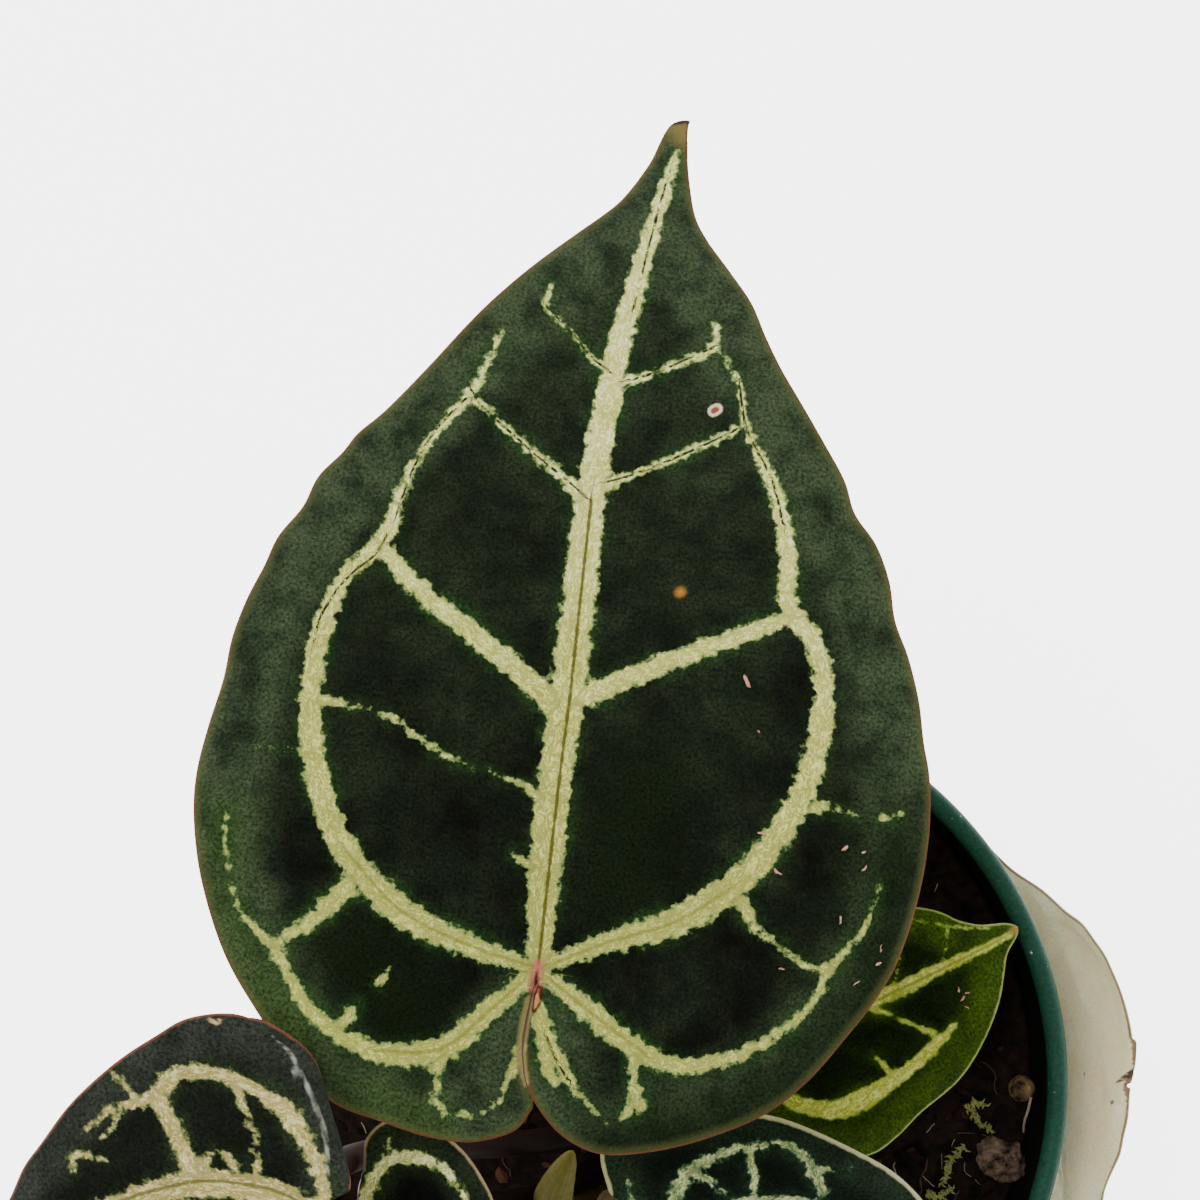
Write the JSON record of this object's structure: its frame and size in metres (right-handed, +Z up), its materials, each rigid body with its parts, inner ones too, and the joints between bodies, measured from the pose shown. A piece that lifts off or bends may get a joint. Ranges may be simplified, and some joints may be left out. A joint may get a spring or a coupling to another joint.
{
  "type": "potted anthurium clarinervium",
  "caption": "Heart-shaped, pale-veined leaves on slender stalks from a short stem, planted in a round tapered nursery pot filled with potting mix.",
  "frame": {"origin": "centre of the flat outer face of the pot's base", "axes": "+Z up along the pot's axis, +Y towards the tip of the largest leaf, +X to the right seen from the front"},
  "size_m": [0.2071, 0.2505, 0.2308],
  "materials": {
    "pot": "dark teal green injection-moulded polypropylene, satin, scuffed at the rim",
    "mix": "moist dark potting mix of bark chips, fibre and peat",
    "clay": "fired clay pellet, matte",
    "bark": "rough weathered bark",
    "stem": "short woody stem, rough",
    "dark_leaf": "thick velvety dark green leaf with pale silvery-green veins, paler underneath",
    "young_leaf": "soft yellow-green new leaf, satin",
    "old_leaf": "pale dull underside of an ageing leaf",
    "petiole": "smooth dark maroon leaf stalk",
    "spear": "rolled new leaf, olive yellow, smooth",
    "sheath": "dry papery bract, brown"
  },
  "bodies": {
    "root": {"pot": "pot", "potting_mix": "mix", "clay_ball": "clay", "bark_lump": "bark", "stem": "stem", "main_leaf_blade": "dark_leaf", "main_leaf_petiole": "petiole", "left_leaf_blade": "dark_leaf", "left_leaf_petiole": "petiole", "front_leaf_blade": "dark_leaf", "front_leaf_petiole": "petiole", "right_leaf_blade": "dark_leaf", "right_leaf_petiole": "petiole", "young_leaf_blade": "young_leaf", "young_leaf_petiole": "petiole", "old_leaf_blade": "old_leaf", "old_leaf_petiole": "petiole", "new_leaf_spear": "spear", "spear_sheath": "sheath", "papery_sheath_1": "sheath", "papery_sheath_2": "sheath"}
  },
  "joints": []
}
